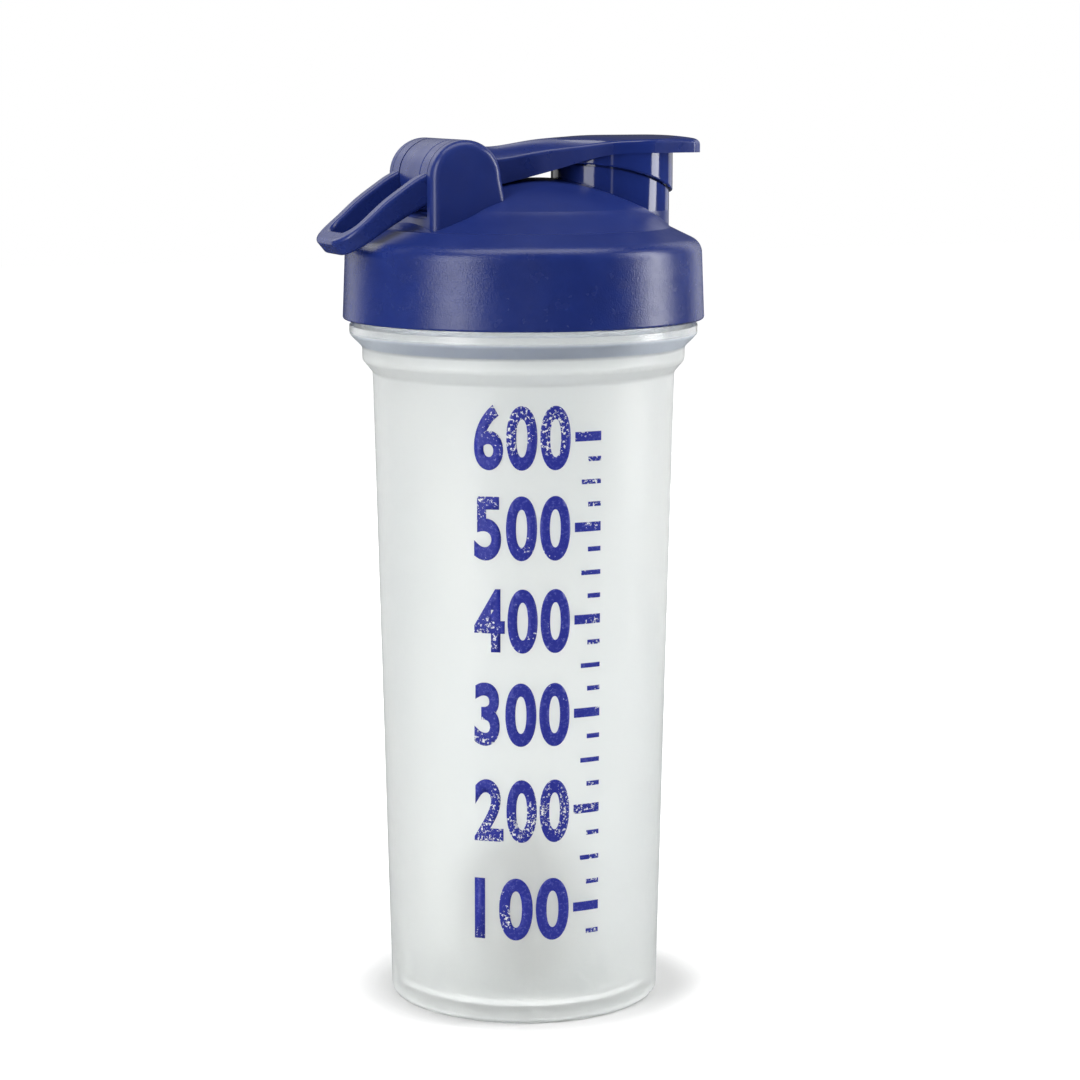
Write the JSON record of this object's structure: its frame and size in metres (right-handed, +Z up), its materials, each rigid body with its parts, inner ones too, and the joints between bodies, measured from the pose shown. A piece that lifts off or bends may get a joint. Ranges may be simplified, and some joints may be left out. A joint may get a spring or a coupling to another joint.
{
  "type": "protein shaker bottle",
  "caption": "Tapered translucent shaker cup with a screw lid, a flip cap over the pouring spout, a carry loop on the cap's hinge and a loose wire whisk ball.",
  "frame": {"origin": "centre of the flat face that the cup stands on, on the cup's axis", "axes": "+Z up along the cup's axis, +X towards the pouring spout, +Y to the bottle's left when the spout points away; the hinge axis of the flip cap and the carry loop runs along Y on the -X side"},
  "size_m": [0.1015, 0.0942, 0.227],
  "materials": {
    "clear_plastic": "translucent, lightly frosted, glossy outside",
    "blue_plastic": "satin with a fine moulded grain",
    "blue_gloss": "smooth satin gloss",
    "blue_ink": "thin worn print",
    "seal_rubber": "soft translucent silicone",
    "steel_wire": "drawn stainless wire"
  },
  "bodies": {
    "cup": {"cup": "clear_plastic"},
    "lid_seal": {"lid_seal": "seal_rubber"},
    "lid": {"lid": "blue_plastic"},
    "flip_cap": {"flip_cap": "blue_gloss"},
    "carry_loop": {"carry_loop": "blue_gloss"},
    "whisk_ball": {"whisk_ball": "steel_wire"}
  },
  "joints": [
    {"name": "lid_lift", "type": "slide", "parent": "cup", "child": "lid_seal", "axis": [0, 0, 1], "range_m": [0, 0.0181]},
    {"name": "lid_turn", "type": "hinge", "parent": "lid_seal", "child": "lid", "pos_m": [0, 0, 0.19], "axis": [0, 0, 1], "range_deg": [0, 540]},
    {"name": "cap_hinge", "type": "hinge", "parent": "lid", "child": "flip_cap", "pos_m": [-0.0218, 0, 0.2169], "axis": [0, -1, 0], "range_deg": [0, 100]},
    {"name": "loop_hinge", "type": "hinge", "parent": "lid", "child": "carry_loop", "pos_m": [-0.0218, 0, 0.2169], "axis": [0, 1, 0], "range_deg": [0, 80]},
    {"name": "ball_travel", "type": "slide", "parent": "cup", "child": "whisk_ball", "axis": [0, 0, 1], "range_m": [0, 0.145]}
  ],
  "couplings": [
    {"joint": "lid_lift", "follows": "lid_turn", "m_per_rad": 0.0019099}
  ]
}
